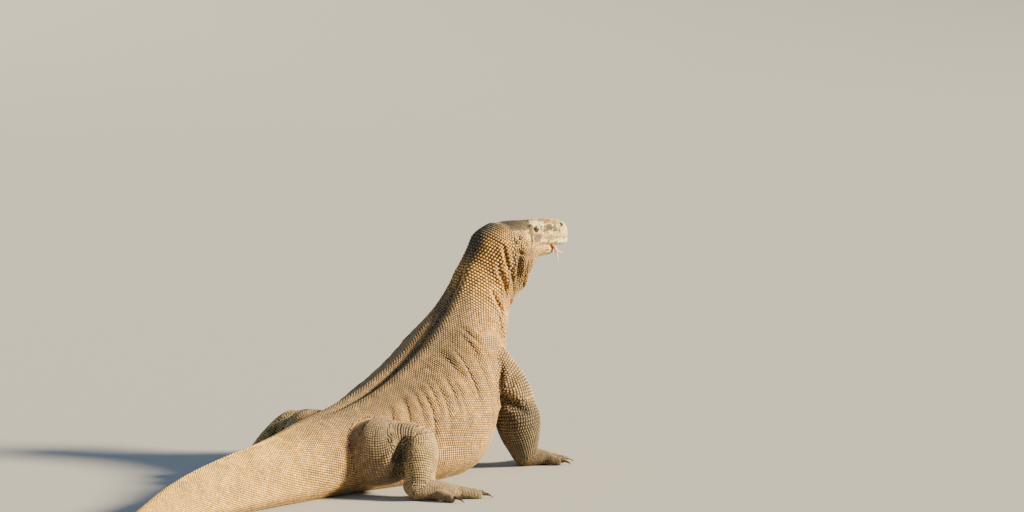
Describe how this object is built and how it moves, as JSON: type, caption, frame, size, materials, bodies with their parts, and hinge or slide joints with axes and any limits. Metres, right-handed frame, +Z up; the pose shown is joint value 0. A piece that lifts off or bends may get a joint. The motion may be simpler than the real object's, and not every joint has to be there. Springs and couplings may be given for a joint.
{
  "type": "komodo dragon",
  "caption": "Life-size komodo dragon propped up on its forelegs, belly and tail on the floor, head turned to its right with a forked tongue out.",
  "frame": {"origin": "middle of the bounding box's bottom, on the floor", "axes": "+X forward along the trunk and tail, +Y the animal's left, +Z up"},
  "size_m": [2.113, 0.7344, 0.6266],
  "materials": {
    "hide": "matte",
    "horn": "satin",
    "eye": "gloss",
    "tongue": "wet"
  },
  "bodies": {
    "root": {"tail_tip": "hide", "tail_end": "hide", "tail_middle": "hide", "tail_base": "hide", "pelvis": "hide", "abdomen": "hide", "chest": "hide", "neck_lower": "hide", "neck_upper": "hide", "head": "hide", "eye_left": "eye", "eye_right": "eye", "claw_fore_right_1": "horn", "claw_fore_right_2": "horn", "claw_fore_right_3": "horn", "claw_fore_right_4": "horn", "claw_fore_right_5": "horn", "fore_right_hand": "hide", "fore_right_upper_arm": "hide", "fore_right_forearm": "hide", "claw_fore_left_1": "horn", "claw_fore_left_2": "horn", "claw_fore_left_3": "horn", "claw_fore_left_4": "horn", "claw_fore_left_5": "horn", "fore_left_hand": "hide", "fore_left_upper_arm": "hide", "fore_left_forearm": "hide", "claw_hind_right_1": "horn", "claw_hind_right_2": "horn", "claw_hind_right_3": "horn", "claw_hind_right_4": "horn", "claw_hind_right_5": "horn", "hind_right_foot": "hide", "hind_right_thigh": "hide", "hind_right_shank": "hide", "claw_hind_left_1": "horn", "claw_hind_left_2": "horn", "claw_hind_left_3": "horn", "claw_hind_left_4": "horn", "claw_hind_left_5": "horn", "hind_left_foot": "hide", "hind_left_thigh": "hide", "hind_left_shank": "hide", "lower_jaw": "hide", "tongue": "tongue"}
  },
  "joints": []
}
